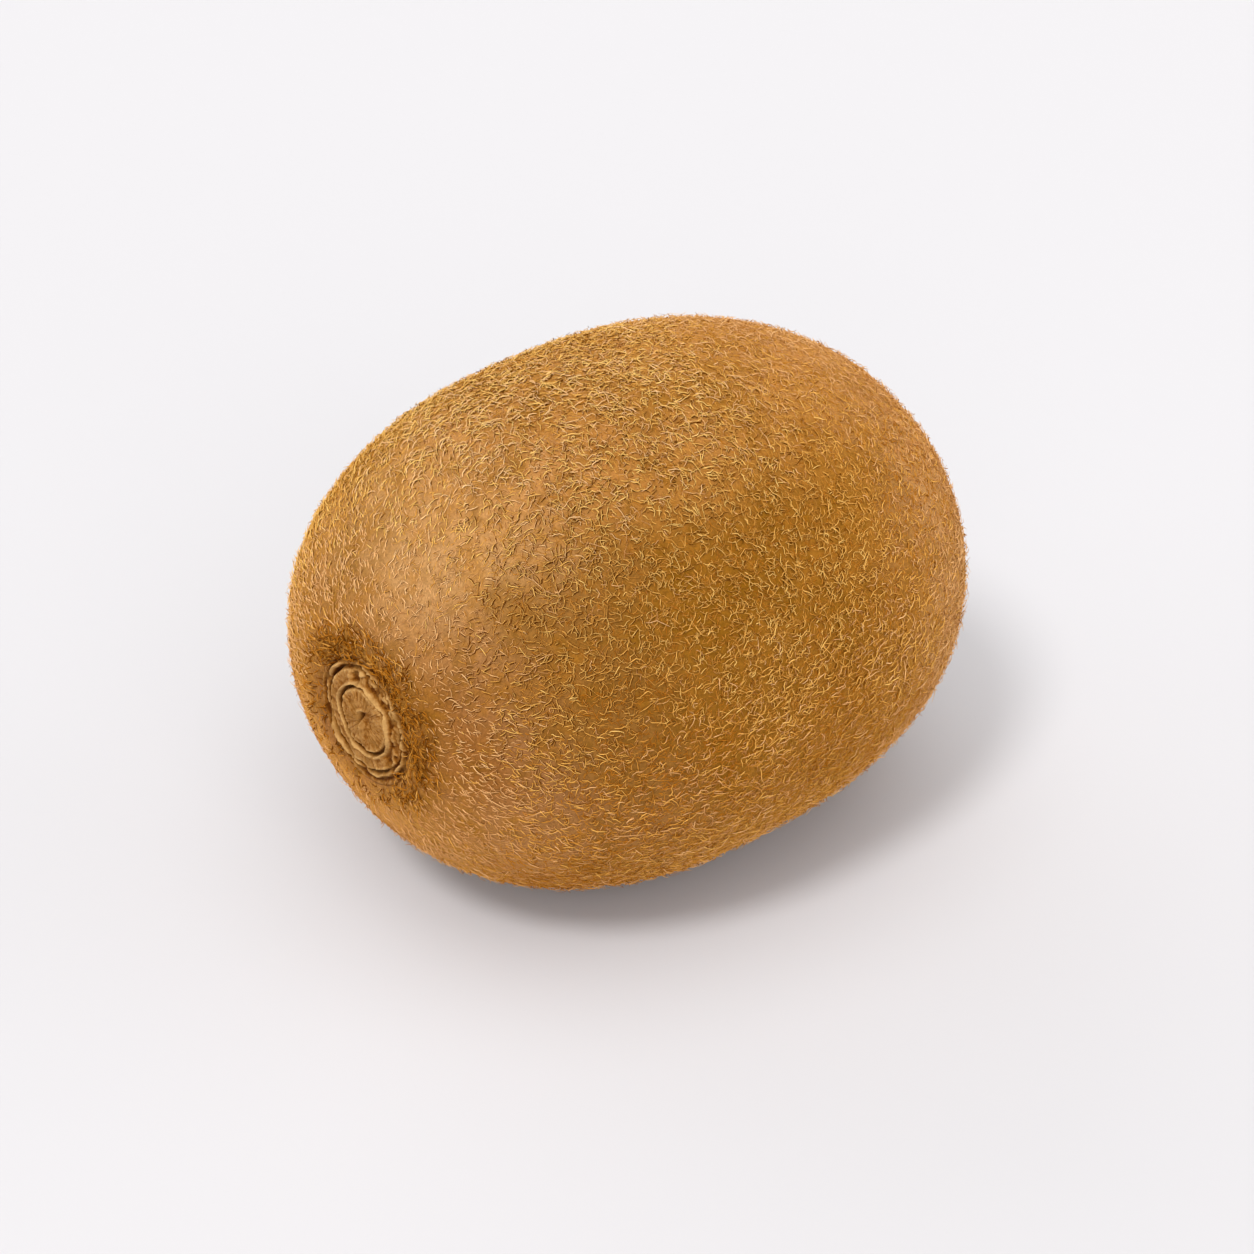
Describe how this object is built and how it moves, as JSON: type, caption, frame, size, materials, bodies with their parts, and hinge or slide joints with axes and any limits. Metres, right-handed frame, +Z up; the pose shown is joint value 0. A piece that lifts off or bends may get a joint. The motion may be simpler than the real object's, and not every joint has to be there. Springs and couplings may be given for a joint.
{
  "type": "kiwi fruit",
  "caption": "Whole kiwi fruit lying on its side: a blunt oval with fuzzy brown skin, a round stem scar in dry torn rings, and a small nub at the blossom end.",
  "frame": {"origin": "under the middle of the fruit's box, on the small flat spot it rests on", "axes": "+X along the long axis from the stem end to the blossom end, +Z up as it rests, +Y across its broader side"},
  "size_m": [0.069, 0.0556, 0.0499],
  "materials": {
    "skin": "matte dry brown skin under short fuzz",
    "fuzz": "fine golden brown hairs",
    "stem_scar": "dry, cracked and matte"
  },
  "bodies": {
    "root": {"kiwi_fruit": "skin"}
  },
  "joints": []
}
